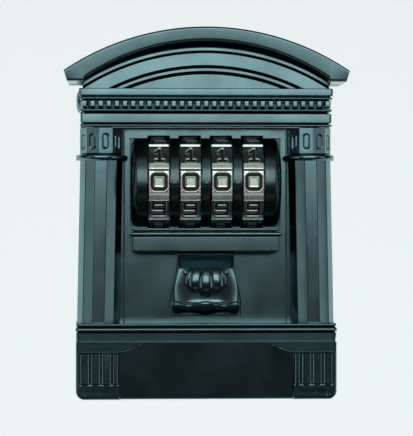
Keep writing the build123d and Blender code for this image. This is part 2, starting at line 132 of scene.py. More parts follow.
def bead(low, high, out, bulge=0.5):
    """A half-round moulding: height runs as minus cosine and depth as sine of the same turn."""
    turn = np.linspace(0, math.pi, 9)
    return np.stack([(low + high) / 2 - (high - low) / 2 * np.cos(turn), out - bulge * (1 - np.sin(turn))], 1)


def groove(height, out):
    """The deepest line of a V-shaped groove between two mouldings."""
    return np.array([(height, out)])


def level(low, high, out, end_out=None):
    """A plain run from low to high, at out, or going from out to end_out."""
    return np.array([(low, out), (high, out if end_out is None else end_out)])


def stack(half_width, front, back, profile, corner=0.8, side=1.0):
    """Mouldings carried round a rectangle: the plan grows by each point's out in front, and by side times it in X."""
    heights, out = profile[:, :1], profile[:, 1:]
    turn = np.linspace(0, math.pi / 2, 6)[None]
    wide, deep = half_width + side * out, front - out
    arc_x = wide - corner + corner * np.cos(turn)
    arc_y = deep + corner - corner * np.sin(turn)
    x = np.concatenate([wide, arc_x, -arc_x[:, ::-1], -wide], 1)
    y = np.concatenate([0 * wide + back, arc_y, arc_y[:, ::-1], 0 * wide + back], 1)
    return loft(np.stack([x, y, heights + 0 * x], -1))


def turned(centre, profile, count=96, along="height", keep_x=None):
    """A turned shape: each point (place, radius) of the profile makes a circle about the axis through centre."""
    turn = np.linspace(0, 2 * math.pi, count, endpoint=False)[None]
    place, radius = profile[:, :1] + 0 * turn, profile[:, 1:]
    if along == "x":
        x, height = centre[0] + place, centre[2] + radius * np.sin(turn)
        loops = np.stack([x, centre[1] - radius * np.cos(turn), height], -1)
    else:
        loops = np.stack([centre[0] + radius * np.sin(turn), centre[1] - radius * np.cos(turn), place], -1)
    if keep_x is not None:
        loops[..., 0] = np.clip(loops[..., 0], -keep_x, keep_x)
    return loft(loops)


def pad(centre, half_x, half_height, rise, depth, power=4.0, count=28):
    """A pillow on a wall: a superellipse outline that steps back from its wall and shrinks to a soft crown."""
    turn = np.linspace(0, 2 * math.pi, count, endpoint=False)[None]
    cosine, sine = np.cos(turn), np.sin(turn)
    x = half_x * np.sign(cosine) * np.abs(cosine) ** (2 / power)
    height = half_height * np.sign(sine) * np.abs(sine) ** (2 / power)
    climb = np.array([0.0, 0.45, 0.78, 0.95, 1.0])[:, None]
    shrink = np.array([1.0, 0.98, 0.9, 0.74, 0.45])[:, None]
    y = centre[1] - rise * climb
    loops = np.stack([centre[0] + x * shrink, y + 0 * x, centre[2] + height * shrink], -1)
    wall = np.stack([centre[0] + x, centre[1] + depth + 0 * x, centre[2] + height], -1)
    return loft(np.concatenate([wall, loops]))


def dome(centre, half_x, half_height, rise, tilt):
    """An ellipsoid, tilted in the wall's plane: cosines of latitude scale its width, height and rise."""
    around = np.linspace(0, 2 * math.pi, 40, endpoint=False)[None]
    latitude = np.linspace(-math.pi / 2 + 0.02, math.pi / 2 - 0.02, 22)[:, None]
    across = half_x * np.cos(latitude) * np.cos(around)
    upward = half_height * np.sin(latitude) + 0 * around
    outward = rise * np.cos(latitude) * np.sin(around)
    cosine, sine = math.cos(tilt), math.sin(tilt)
    x = centre[0] + across * cosine + upward * sine
    height = centre[2] - across * sine + upward * cosine
    return loft(np.stack([x, centre[1] - outward, height], -1))


def coil(start, end, radius, wire, turns):
    """A compression spring: a wire circle swept along a helix whose end turns lie close together."""
    start, end = np.array(start, float), np.array(end, float)
    axis = (end - start) / np.linalg.norm(end - start)
    side = np.cross(axis, (1.0, 0.0, 0.0) if abs(axis[0]) < 0.5 else (0.0, 0.0, 1.0))
    side /= np.linalg.norm(side)
    other = np.cross(axis, side)
    run = np.linspace(0, 1, int(turns * 22))[:, None]
    ease = run + 0.42 / turns * -np.sin(2 * math.pi * run)
    length = np.linalg.norm(end - start) - 2 * wire
    angle = 2 * math.pi * turns * run
    outward = np.cos(angle) * side + np.sin(angle) * other
    middle = start + axis * (wire + length * ease) + (radius - wire) * outward
    ahead = np.gradient(middle, axis=0)
    ahead /= np.linalg.norm(ahead, axis=1, keepdims=True)
    up = np.cross(ahead, outward)
    turn = np.linspace(0, 2 * math.pi, 10, endpoint=False)[None, :, None]
    return loft(middle[:, None] + wire * (np.cos(turn) * outward[:, None] + np.sin(turn) * up[:, None]))


# ---- Making pieces ----

def to_metres(points):
    """Millimetres and heights above the foot become the frame's metres."""
    placed = np.asarray(points, float).reshape(-1, 3) * 0.001
    placed[:, 2] += FOOT
    return placed


def add_object(name, data):
    """A new object in the scene, holding the data."""
    item = bpy.data.objects.new(name, data)
    bpy.context.scene.collection.objects.link(item)
    return item


def finish_piece(mesh, name, body, slot, stands_for, sharp=32.0):
    """Smooth shading, the slot's finish, the body that the piece rides on, and the CAD nodes that it stands for."""
    mesh.shade_smooth()
    mesh.set_sharp_from_angle(angle=math.radians(sharp))
    mesh.materials.append(bpy.data.materials[FINISH_OF_SLOT[slot]])
    piece = add_object(name, mesh)
    weighted = piece.modifiers.new("even shading", "WEIGHTED_NORMAL")
    weighted.keep_sharp = True
    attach(piece, body)
    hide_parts(*stands_for)
    return piece


def make_piece(name, shapes, body, slot, stands_for, sharp=32.0, extra=None):
    """One object from a list of closed shapes, with doubled points merged and every face turned outwards."""
    points, faces, start = [], [], 0
    for shape_points, shape_faces in shapes:
        placed = to_metres(shape_points)
        points.append(placed)
        for rows in shape_faces:
            faces += (rows + start).tolist()
        start += len(placed)
    mesh = bpy.data.meshes.new(name)
    mesh.from_pydata(np.concatenate(points).tolist(), [], faces)
    work = bmesh.new()
    work.from_mesh(mesh)
    bmesh.ops.remove_doubles(work, verts=work.verts, dist=1e-7)
    bmesh.ops.recalc_face_normals(work, faces=work.faces)
    if extra is not None:
        work.from_mesh(extra)
        bpy.data.meshes.remove(extra)
    work.to_mesh(mesh)
    work.free()
    return finish_piece(mesh, name, body, slot, stands_for, sharp)


def door_casting(name, shapes, sharp=32.0):
    """A painted casting that rides on the door and stands for a part of its front."""
    make_piece(name, shapes, "door", "painted_casting", ("door_front",), sharp)


def cut_copy(node, cut_y, adjust=None):
    """A merged copy of a CAD node's mesh, cut square at y = cut_y with everything in front taken off and closed.
    The normals and sharp edges that came with the node are dropped, because they no longer fit its merged points."""
    mesh = bpy.data.meshes.new(node + "_rear")
    work = bmesh.new()
    work.from_mesh(frame["nodes"][node].data)
    bmesh.ops.remove_doubles(work, verts=work.verts, dist=1e-6)
    geometry = work.verts[:] + work.edges[:] + work.faces[:]
    cut = bmesh.ops.bisect_plane(work, geom=geometry, dist=1e-7, plane_co=(0, cut_y * 0.001, 0),
                                 plane_no=(0, -1, 0), clear_outer=True)
    edges = [part for part in cut["geom_cut"] if isinstance(part, bmesh.types.BMEdge)]
    bmesh.ops.triangle_fill(work, use_beauty=True, edges=edges, normal=(0, -1, 0))
    bmesh.ops.recalc_face_normals(work, faces=work.faces)
    work.to_mesh(mesh)
    work.free()
    for stored in ("custom_normal", "sharp_edge"):
        if stored in mesh.attributes:
            mesh.attributes.remove(mesh.attributes[stored])
    if adjust is not None:
        points = np.zeros(len(mesh.vertices) * 3)
        mesh.vertices.foreach_get("co", points)
        mesh.vertices.foreach_set("co", adjust(points.reshape(-1, 3)).ravel())
        mesh.update()
    return mesh


# ---- Finishes ----

FINISH_OF_SLOT = {
    "painted_casting": "Satin paint", "black_housing": "Smooth dark paint", "chrome": "Digit chrome",
    "steel": "Zinc-plated steel", "zinc_plate": "Pressed zinc plate", "spring_steel": "Spring steel",
    "brass": "Turned brass", "rubber": "Moulded rubber"}


def start_group(name, inputs, outputs):
    """An empty shader node group with its named sockets, and its two end nodes."""
    group = bpy.data.node_groups.new(name, "ShaderNodeTree")
    for label, kind, default in inputs:
        socket = group.interface.new_socket(label, in_out="INPUT", socket_type=kind)
        if default is not None:
            socket.default_value = default
    for label, kind in outputs:
        group.interface.new_socket(label, in_out="OUTPUT", socket_type=kind)
    return group, group.nodes.new("NodeGroupInput"), group.nodes.new("NodeGroupOutput")


def feed(tree, socket, value):
    """Links an input to another node's socket, or sets it to a constant."""
    if isinstance(value, bpy.types.NodeSocket):
        tree.links.new(value, socket)
    else:
        socket.default_value = value


def add_math(tree, operation, first, second):
    """A Math node whose two inputs are sockets or numbers."""
    node = tree.nodes.new("ShaderNodeMath")
    node.operation = operation
    feed(tree, node.inputs[0], first)
    feed(tree, node.inputs[1], second)
    return node.outputs[0]


def add_noise(tree, vector, scale, detail, roughness=0.55):
    """A Noise Texture read at vector; scale is a socket or a number."""
    node = tree.nodes.new("ShaderNodeTexNoise")
    node.inputs["Detail"].default_value = detail
    node.inputs["Roughness"].default_value = roughness
    tree.links.new(vector, node.inputs["Vector"])
    feed(tree, node.inputs["Scale"], scale)
    return node.outputs["Fac"]


def place_group(tree, name, vector, **values):
    """A node group put into a material, read at vector; each value's name is its input's, with _ for a space."""
    node = tree.nodes.new("ShaderNodeGroup")
    node.node_tree = bpy.data.node_groups[name]
    tree.links.new(vector, node.inputs["Vector"])
    for label, value in values.items():
        node.inputs[label.replace("_", " ")].default_value = value
    return node


def make_grain_group():
    """Sprayed or cast surface: wide mottling, and a fine orange-peel height with a few larger pits."""
    group, inside, outside = start_group(
        "Surface grain",
        [("Vector", "NodeSocketVector", None), ("Grain Scale", "NodeSocketFloat", 1400.0),
         ("Mottle Scale", "NodeSocketFloat", 70.0)],
        [("Mottle", "NodeSocketFloat"), ("Height", "NodeSocketFloat")])
    vector = inside.outputs["Vector"]
    mottle = add_noise(group, vector, inside.outputs["Mottle Scale"], 5.0)
    fine = add_noise(group, vector, inside.outputs["Grain Scale"], 3.0)
    coarse = add_noise(group, vector, add_math(group, "MULTIPLY", inside.outputs["Grain Scale"], 0.22), 2.0)
    height = add_math(group, "ADD", add_math(group, "MULTIPLY", fine, 0.6), add_math(group, "MULTIPLY", coarse, 0.9))
    group.links.new(mottle, outside.inputs["Mottle"])
    group.links.new(height, outside.inputs["Height"])


def make_scratch_group():
    """Fine handling scratches: two noises stretched hard in different directions, kept only at their peaks."""
    group, inside, outside = start_group(
        "Handling scratches",
        [("Vector", "NodeSocketVector", None), ("Scale", "NodeSocketFloat", 220.0)],
        [("Scratches", "NodeSocketFloat")])
    found = []
    for stretch, lean in (((1.0, 1.0, 0.06), 0.35), ((0.07, 1.0, 1.0), 0.9)):
        mapping = group.nodes.new("ShaderNodeMapping")
        mapping.inputs["Rotation"].default_value = (0.0, lean, 0.2)
        mapping.inputs["Scale"].default_value = stretch
        group.links.new(inside.outputs["Vector"], mapping.inputs["Vector"])
        noise = add_noise(group, mapping.outputs["Vector"], inside.outputs["Scale"], 4.0, 0.7)
        peak = group.nodes.new("ShaderNodeMapRange")
        peak.inputs["From Min"].default_value = 0.62
        peak.inputs["From Max"].default_value = 0.72
        group.links.new(noise, peak.inputs["Value"])
        found.append(peak.outputs["Result"])
    group.links.new(add_math(group, "MAXIMUM", found[0], found[1]), outside.inputs["Scratches"])


def make_finish(name, colour, second, metallic, roughness, spread, grain=1400.0, mottle=70.0,
                bump=0.00002, scratches=0.0, scratch_colour=(0.5, 0.5, 0.5), ink=None, direction=None):
    """A Principled finish whose colour and roughness follow the mottling, with grain, scratches and any ink."""
    material = bpy.data.materials.new(name)
    material.use_nodes = True
    tree = material.node_tree
    shader = tree.nodes["Principled BSDF"]
    shader.inputs["Metallic"].default_value = metallic
    vector = tree.nodes.new("ShaderNodeTexCoord").outputs["Object"]
    if direction is not None:
        mapping = tree.nodes.new("ShaderNodeMapping")
        mapping.inputs["Scale"].default_value = direction
        tree.links.new(vector, mapping.inputs["Vector"])
        vector = mapping.outputs["Vector"]
    grain_node = place_group(tree, "Surface grain", vector, Grain_Scale=grain, Mottle_Scale=mottle)

    def mix(first, other, factor):
        node = tree.nodes.new("ShaderNodeMix")
        node.data_type = "RGBA"
        for socket, value in ((node.inputs[6], first), (node.inputs[7], other)):
            feed(tree, socket, (*value, 1.0) if isinstance(value, tuple) else value)
        tree.links.new(factor, node.inputs[0])
        return node.outputs[2]

    contrast = tree.nodes.new("ShaderNodeMapRange")
    contrast.inputs["From Min"].default_value = 0.3
    contrast.inputs["From Max"].default_value = 0.7
    tree.links.new(grain_node.outputs["Mottle"], contrast.inputs["Value"])
    tone = mix(colour, second, contrast.outputs["Result"])
    rough = add_math(tree, "ADD", add_math(tree, "MULTIPLY", contrast.outputs["Result"], spread), roughness)
    height = grain_node.outputs["Height"]
    if scratches:
        scratch_node = place_group(tree, "Handling scratches", vector, Scale=260.0)
        amount = add_math(tree, "MULTIPLY", scratch_node.outputs["Scratches"], scratches)
        tone = mix(tone, scratch_colour, amount)
        rough = add_math(tree, "ADD", rough, add_math(tree, "MULTIPLY", amount, 0.15))
    if ink is not None:
        attribute = tree.nodes.new("ShaderNodeAttribute")
        attribute.attribute_name = "ink"
        tone = mix(tone, ink, attribute.outputs["Fac"])
        rough = add_math(tree, "ADD", rough, add_math(tree, "MULTIPLY", attribute.outputs["Fac"], 0.45))
        plain = add_math(tree, "SUBTRACT", 1.0, attribute.outputs["Fac"])
        tree.links.new(add_math(tree, "MULTIPLY", plain, metallic), shader.inputs["Metallic"])
    tree.links.new(tone, shader.inputs["Base Color"])
    tree.links.new(rough, shader.inputs["Roughness"])
    bump_node = tree.nodes.new("ShaderNodeBump")
    bump_node.inputs["Strength"].default_value = 1.0
    bump_node.inputs["Distance"].default_value = bump
    tree.links.new(height, bump_node.inputs["Height"])
    tree.links.new(bump_node.outputs["Normal"], shader.inputs["Normal"])


# ---- Settings ----

class KeyBoxSettings(bpy.types.PropertyGroup):
    paint: bpy.props.FloatVectorProperty(
        name="Paint", description="Colour of the satin paint on the castings", subtype="COLOR",
        size=3, min=0.0, max=1.0, default=(0.17, 0.30, 0.325))
    barrel_paint: bpy.props.FloatVectorProperty(
        name="Barrel paint", description="Colour of the smoother, darker paint on the dial barrel", subtype="COLOR",
        size=3, min=0.0, max=1.0, default=(0.095, 0.15, 0.16))
    ink: bpy.props.FloatVectorProperty(
        name="Digit fill", description="Colour of the paint in the engraved digits", subtype="COLOR",
        size=3, min=0.0, max=1.0, default=(0.008, 0.010, 0.010))
    paint_roughness: bpy.props.FloatProperty(
        name="Paint roughness", description="Lowest roughness of the satin paint", subtype="FACTOR",
        min=0.05, max=1.0, default=0.17)
    barrel_gap: bpy.props.FloatProperty(
        name="Barrel gap", description="Space between a dial and the barrel bands beside it, in millimetres",
        min=0.2, max=1.0, default=0.3)
    digit_depth: bpy.props.FloatProperty(
        name="Digit depth", description="How deep the digits are engraved, in millimetres",
        min=0.05, max=0.6, default=0.3)
    flute_depth: bpy.props.FloatProperty(
        name="Flute depth", description="Depth of the hollow flutes on the two feet, in millimetres",
        min=0.1, max=1.5, default=0.85)
    dentils: bpy.props.IntProperty(
        name="Dentils", description="Number of small blocks along the entablature", min=5, max=60, default=31)
    light: bpy.props.FloatProperty(
        name="Front light", description="Power of the large soft light in front", subtype="POWER",
        unit="POWER", min=0.0, default=4.6)
    lens: bpy.props.FloatProperty(
        name="Lens", description="Focal length of the camera in millimetres", subtype="DISTANCE_CAMERA",
        min=10.0, max=400.0, default=157.0)


def settings():
    """The sizes and colours that the panel shows."""
    return bpy.context.scene.key_box


# ---- Castings of the door ----

ROOF_CENTRE = 40.3
ROOF_RADIUS = CROWN - ROOF_CENTRE
SOFFIT_CENTRE, SOFFIT_RADIUS = 47.9, 74.2
EAVES = 108.3  # height of the roof's flat ends
COLUMN_BACK = PANEL_FRONT + 1.0
COLUMN_Y = -41.0  # the columns' axes
CAPITAL_X = 35.9  # the axes where the columns are topped
BASE_HALF = 44.6  # half the width of the base


class KEYBOX_OT_finishes(bpy.types.Operator):
    """Make the node groups and every finish"""
    bl_idname = "keybox.finishes"
    bl_label = "Finishes"

    def execute(self, context):
        values = settings()
        make_grain_group()
        make_scratch_group()
        paint = tuple(values.paint)
        barrel = tuple(values.barrel_paint)
        make_finish("Satin paint", paint, tuple(0.84 * part for part in paint), 1.0, values.paint_roughness, 0.08,
                    grain=1500.0, mottle=90.0, bump=0.000008, scratches=0.04, scratch_colour=(0.3, 0.42, 0.42))
        make_finish("Smooth dark paint", barrel, tuple(0.8 * part for part in barrel), 1.0, 0.22, 0.06,
                    grain=2600.0, mottle=120.0, bump=0.000006, scratches=0.15, scratch_colour=(0.25, 0.3, 0.3))
        make_finish("Digit chrome", (0.80, 0.93, 0.87), (0.68, 0.82, 0.75), 1.0, 0.12, 0.08, grain=2600.0,
                    mottle=350.0, bump=0.000006, scratches=0.35, scratch_colour=(0.45, 0.47, 0.46),
                    ink=tuple(values.ink))
        make_finish("Zinc-plated steel", (0.56, 0.57, 0.58), (0.44, 0.45, 0.47), 1.0, 0.26, 0.12, grain=1800.0,
                    mottle=160.0, bump=0.00001, scratches=0.3, scratch_colour=(0.7, 0.7, 0.7))
        make_finish("Pressed zinc plate", (0.50, 0.51, 0.52), (0.40, 0.41, 0.42), 1.0, 0.34, 0.14, grain=900.0,
                    mottle=60.0, bump=0.000015, scratches=0.4, scratch_colour=(0.66, 0.66, 0.66),
                    direction=(1.0, 1.0, 0.25))
        make_finish("Spring steel", (0.42, 0.43, 0.45), (0.34, 0.35, 0.37), 1.0, 0.22, 0.1, grain=2200.0,
                    mottle=240.0, bump=0.000008, scratches=0.2)
        make_finish("Turned brass", (0.72, 0.55, 0.26), (0.60, 0.44, 0.19), 1.0, 0.22, 0.1, grain=2200.0,
                    mottle=200.0, bump=0.000008, scratches=0.3, scratch_colour=(0.85, 0.72, 0.45),
                    direction=(4.0, 1.0, 1.0))
        make_finish("Moulded rubber", (0.028, 0.029, 0.030), (0.018, 0.019, 0.020), 0.0, 0.62, 0.14, grain=1300.0,
                    mottle=90.0, bump=0.00004)
        return {"FINISHED"}


def draw_in_shell(points):
    """Pulls the roof of the cut shell just inside the new roof, and its ends in to half_width; all in metres."""
    centre, top_skin, draw, half_width = ROOF_CENTRE * 0.001, 0.0838, 0.0005, 0.0469
    x, height = points[:, 0], points[:, 2] - FOOT
    above = height > 0.107
    from_centre = np.hypot(x, height - centre)
    roof = (from_centre > top_skin) & above
    scale = np.where(roof, 1 - draw / from_centre, 1.0)
    points[:, 0] = np.where(roof, x * scale, x)
    points[:, 2] = np.where(roof, FOOT + centre + (height - centre) * scale, points[:, 2])
    points[:, 0] = np.where(above, np.clip(points[:, 0], -half_width, half_width), points[:, 0])
    return points


class KEYBOX_OT_door_shell(bpy.types.Operator):
    """Make the door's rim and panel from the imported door, cut off behind its ornament"""
    bl_idname = "keybox.door_shell"
    bl_label = "Door shell"

    def execute(self, context):
        mesh = cut_copy("door_front", PANEL_FRONT, draw_in_shell)
        finish_piece(mesh, "door_shell", "door", "painted_casting", ("door_front",))
        strips = []
        for side in (-1, 1):
            profile = np.concatenate([level(26.0, 26.0, -0.2), level(26.0, 93.0, 0.0), level(93.0, 93.0, -0.2)])
            points, faces = stack(0.3, PANEL_FRONT - 0.55, PANEL_FRONT + 0.5, profile, corner=0.28)
            strips.append((points + np.array([side * 28.15, 0.0, 0.0]), faces))
        door_casting("panel_fillets", strips)
        return {"FINISHED"}


def roof_shape():
    """The roof's section carried along X: its top follows the outer arc, its underside the inner arc and flat eaves,
    and its front leans back a little towards the bottom."""
    span = np.concatenate([np.linspace(-47.4, -41.9, 8), np.linspace(-41.6, 41.6, 121), np.linspace(41.9, 47.4, 8)])
    x_low = span[:, None]
    x_high = x_low * 48.6 / 47.4
    arch = SOFFIT_CENTRE + np.sqrt(SOFFIT_RADIUS ** 2 - np.minimum(x_low ** 2, 41.75 ** 2))
    low = np.maximum(np.where(np.abs(x_low) < 41.75, arch, EAVES), EAVES)
    high = ROOF_CENTRE + np.sqrt(ROOF_RADIUS ** 2 - x_high ** 2)
    turn = np.linspace(0, math.pi / 2, 7)[None]
    edge = 0.9
    front, back = ROOF_FRONT, DOOR_REAR - 0.1
    corner_y = front + edge * (1 - np.sin(turn))
    lift = edge * (1 - np.cos(turn))
    y = np.concatenate([corner_y, corner_y[:, ::-1], [[back, back]]], 1) + 0 * x_low
    height = np.concatenate([low + lift, high - lift[:, ::-1], high, low], 1)
    share = (height - low) / (high - low)
    x = x_low + (x_high - x_low) * share
    y = y + 0.28 * (1 - share) * (y < front + 1.2)
    return loft(np.stack([x, y, height], -1))


def pediment_shape():
    """Polar grid about the roof's centre, clipped at the entablature; depth is a function of radius alone."""
    radius_profile = np.array([
        (60.00, -47.2), (71.00, -47.2), (71.25, -47.0), (71.65, -45.6), (71.95, -46.6), (72.05, -47.8),
        (72.20, -48.0), (73.00, -48.0), (73.15, -47.8), (73.25, -46.6), (73.65, -45.2), (74.05, -47.2),
        (74.25, -47.4), (78.25, -47.4), (78.45, -47.2), (78.75, -45.6), (78.95, -46.8), (79.05, -48.0),
        (79.20, -48.2), (80.05, -48.2), (80.20, -48.0), (80.30, -46.4), (80.50, -45.8), (81.20, -46.8),
        (81.30, -48.6), (82.00, -51.6), (83.50, -55.0)])
    angle = np.linspace(-0.60, 0.60, 241)[:, None]
    foot = (106.0 - ROOF_CENTRE) / np.cos(angle)
    radius = np.maximum(radius_profile[None, :, 0], foot)
    depth = np.interp(radius, radius_profile[:, 0], radius_profile[:, 1])
    x = np.clip(radius * np.sin(angle), -42.3, 42.3)
    height = ROOF_CENTRE + radius * np.cos(angle)
    soffit = SOFFIT_CENTRE + np.sqrt(SOFFIT_RADIUS ** 2 - x ** 2) + 1.0
    height = np.minimum(height, soffit)
    return slab(np.stack([x, depth, height], -1), PANEL_FRONT + 1.0)


class KEYBOX_OT_roof(bpy.types.Operator):
    """Make the arched roof and the pediment under it"""
    bl_idname = "keybox.roof"
    bl_label = "Roof and pediment"

    def execute(self, context):
        door_casting("roof_hood", [roof_shape()])
        door_casting("pediment", [pediment_shape()])
        return {"FINISHED"}


class KEYBOX_OT_entablature(bpy.types.Operator):
    """Make the entablature's mouldings and its row of dentils"""
    bl_idname = "keybox.entablature"
    bl_label = "Entablature"

    def execute(self, context):
        profile = np.concatenate([
            level(93.0, 93.2, -1.2), bead(93.3, 94.1, 0.2), groove(94.35, -1.0), band(94.6, 97.75, 0.0),
            groove(98.15, -1.6), bead(98.5, 99.35, 0.2), level(99.45, 99.6, -0.9, -2.6),
            level(102.3, 102.5, -1.5, -1.0), bead(102.65, 103.4, 0.35), groove(103.65, -0.5),
            band(103.85, 106.45, 0.5, 0.35)])
        shapes = [stack(43.1, -48.6, PANEL_FRONT + 1.0, profile, corner=0.9)]
        count = settings().dentils
        for x in np.linspace(-41.7, 41.7, count):
            shapes.append(pad((x, -47.0, 101.0), 0.92, 1.35, 1.85, 0.8, power=9.0, count=16))
        door_casting("entablature", shapes)
        return {"FINISHED"}


def column_shape(side):
    """Twelve flats round an axis that leans outwards a little; each corner is a narrow chamfer between them."""
    corner = np.deg2rad(np.arange(12) * 30.0 + 15.0)
    turn = np.sort(np.concatenate([corner - 0.035, corner + 0.035]))
    flat = 7.6 * math.cos(math.radians(15)) / np.cos(math.radians(15) - 0.035)
    heights = np.linspace(25.5, 82.2, 9)[:, None]
    share = (heights - 26) / 56
    axis_x = side * (37.05 - 1.1 * share)
    x = axis_x + flat * np.sin(turn)[None]
    y = np.minimum(COLUMN_Y - flat * np.cos(turn)[None], COLUMN_BACK) + 0 * heights
    return loft(np.stack([x, y, heights + 0 * x], -1))


def capital_shape(side, phase):
    """A drum of ten flats, whose radius dips along the outline of an upright oval in the middle of each flat."""
    turn = np.linspace(0, 2 * math.pi, 300, endpoint=False)[None]
    heights = np.concatenate([[84.0, 84.05], np.linspace(84.3, 92.9, 52), [93.15, 93.2]])[:, None]
    along = np.mod(turn - math.radians(phase) + math.pi / 10, math.pi / 5) - math.pi / 10
    across = 7.4 * along
    upward = np.maximum(np.abs(heights - 88.2) - 1.55, 0.0)
    distance = np.hypot(across, upward) - 0.95
    dip = 0.36 * np.exp(-(distance / 0.17) ** 2)
    ends = np.interp(heights, [84.0, 84.05, 84.3, 92.9, 93.15, 93.2], [0.6, 0.25, 0.0, 0.0, 0.25, 0.6])
    radius = 7.6 * math.cos(math.pi / 10) / np.cos(along) - dip - ends
    x = side * CAPITAL_X + radius * np.sin(turn)
    y = np.minimum(COLUMN_Y - radius * np.cos(turn), COLUMN_BACK)
    return loft(np.stack([x, y, heights + 0 * x], -1))


class KEYBOX_OT_columns(bpy.types.Operator):
    """Make the two twelve-sided columns with their collars and capitals"""
    bl_idname = "keybox.columns"
    bl_label = "Columns"

    def execute(self, context):
        for side, name, phase in ((-1, "column_left", 12.0), (1, "column_right", -12.0)):
            collar = np.concatenate([
                np.array([(81.7, 7.0), (81.75, 8.2)]),
                np.stack([82.8 - 0.95 * np.cos(np.linspace(0, math.pi, 11)),
                          8.3 + 0.75 * np.sin(np.linspace(0, math.pi, 11))], 1),
                np.array([(83.8, 8.0), (83.95, 7.6), (84.1, 7.0)])])
            ring_shape = turned((side * CAPITAL_X, COLUMN_Y, 0.0), collar, keep_x=44.2)
            ring_shape[0][:, 1] = np.minimum(ring_shape[0][:, 1], COLUMN_BACK)
            door_casting(name, [column_shape(side), capital_shape(side, phase), ring_shape], sharp=28.0)
        return {"FINISHED"}


def base_front():
    """The base's lower face: hollow flutes on two feet, a cove over them, and a sunk field with an arched top."""
    left = np.concatenate([[-44.6, -44.56, -44.45, -44.25, -44.0, -43.7], np.linspace(-43.4, -29.7, 110),
                           np.linspace(-29.5, -28.6, 6), np.linspace(-28.0, 0.0, 57)])
    span = np.concatenate([left, -left[-2::-1]])[None]
    heights = np.concatenate([[0.0, 0.03, 0.12, 0.3, 0.6, 1.0], np.linspace(1.3, 5.2, 20), np.linspace(5.5, 15.9, 34),
                              np.linspace(16.0, 19.6, 25)])[:, None]
    corner = 3.0
    inset = np.where(heights < corner, corner - np.sqrt(np.maximum(corner ** 2 - (corner - heights) ** 2, 0.0)), 0.0)
    x = span * (BASE_HALF - inset) / BASE_HALF
    away = np.abs(x)
    fall = 0.5 + 0.5 * np.cos(math.pi * unit((away - 19.9) / 9.7))
    arch = np.where(away < 19.9, 19.15, 16.3 + 2.85 * fall)
    above = unit((heights - arch) / 0.25)
    foot = unit((away - 29.5) / 0.3)
    lines = np.array([29.9, 32.25, 36.0, 39.7, 43.4])
    cell = np.clip(np.searchsorted(lines, away) - 1, 0, 3)
    place = (away - lines[cell]) / (lines[cell + 1] - lines[cell])
    round_in = np.sqrt(unit(1 - (2.15 * place - 1.075) ** 2))
    in_flute = unit((heights - 5.1) / 0.4) * unit((16.0 - heights) / 0.3)
    in_flute = in_flute * (away < 43.4) * (away > 29.9)
    hollow = settings().flute_depth * round_in * in_flute
    gap = np.abs(np.mod(away - 30.0, 4.65) - 2.3)
    in_tick = (heights > 1.7) & (heights < 3.1) & (away > 30.5) & (away < 43.2)
    tick = np.where(in_tick, 0.45 * unit((gap - 0.3) / 0.3), 0.0)
    sunk = 0.5 * unit(3.5 - np.abs(heights - 3.9) * 2.4) * (np.abs(heights - 3.7) < 0.3)
    field = -50.0 - 0.045 * heights
    foot_y = -51.5 + hollow + tick + sunk
    cove_y = -50.9 - 1.0 * unit((heights - 16.0) / 3.3)
    y = (field * (1 - foot) + foot_y * foot) * (1 - above) + cove_y * above
    side = np.minimum(np.minimum(BASE_HALF - inset - away, heights), 0.9)
    y = y + 0.9 * (1 - np.sqrt(unit(1 - (1 - side / 0.9) ** 2)))
    return np.stack([x, y, heights + 0 * x], -1)


class KEYBOX_OT_base(bpy.types.Operator):
    """Make the base with its beads, cove and fluted feet"""
    bl_idname = "keybox.base"
    bl_label = "Base"

    def execute(self, context):
        profile = np.concatenate([
            level(19.2, 19.3, -2.0), level(19.5, 22.7, -1.1, -0.2), groove(23.0, -1.7), bead(23.2, 24.6, 0.25, 0.8),
            groove(24.85, -1.5), bead(25.05, 26.0, -0.35, 0.55)])
        mouldings = stack(BASE_HALF, -51.7, PANEL_FRONT, profile, corner=1.0, side=0.3)
        door_casting("base_block", [slab(base_front(), PANEL_FRONT), mouldings], sharp=38.0)
        return {"FINISHED"}


class KEYBOX_OT_sill(bpy.types.Operator):
    """Make the sill under the dials"""
    bl_idname = "keybox.sill"
    bl_label = "Dial sill"

    def execute(self, context):
        lower = np.concatenate([
            level(49.6, 50.4, -2.6, -0.5), band(50.55, 55.65, 0.0, 0.3), groove(55.9, -1.5)])
        middle = np.concatenate([level(55.7, 55.8, -1.6), bead(55.85, 57.15, 0.9, 0.65), level(57.3, 57.4, -1.7)])
        upper = np.concatenate([level(57.2, 57.3, -1.4), bead(57.6, 58.55, 0.2, 0.45)])
        # The top moulding stops short of the panel, so that the dials' bars turn past it.
        inlaid, clear_of_dials = PANEL_FRONT + 0.5, PANEL_FRONT - 1.8
        shapes = [stack(25.3, -47.0, back, profile, corner=0.7)
                  for profile, back in ((lower, inlaid), (middle, inlaid), (upper, clear_of_dials))]
        door_casting("dial_sill", shapes)
        return {"FINISHED"}


# ---- Dials ----

def barrel_band(section):
    """A section (x, radius) swept round the dial axis over the front, and cut flat where it meets the panel."""
    turn = np.linspace(-math.radians(82), math.radians(82), 73)[:, None]
    x, radius = section[None, :, 0], section[None, :, 1]
    y = np.minimum(AXIS_Y - radius * np.cos(turn), -37.4)
    height = AXIS_HEIGHT + radius * np.sin(turn)
    return loft(np.stack([x + 0 * turn, y, height], -1))


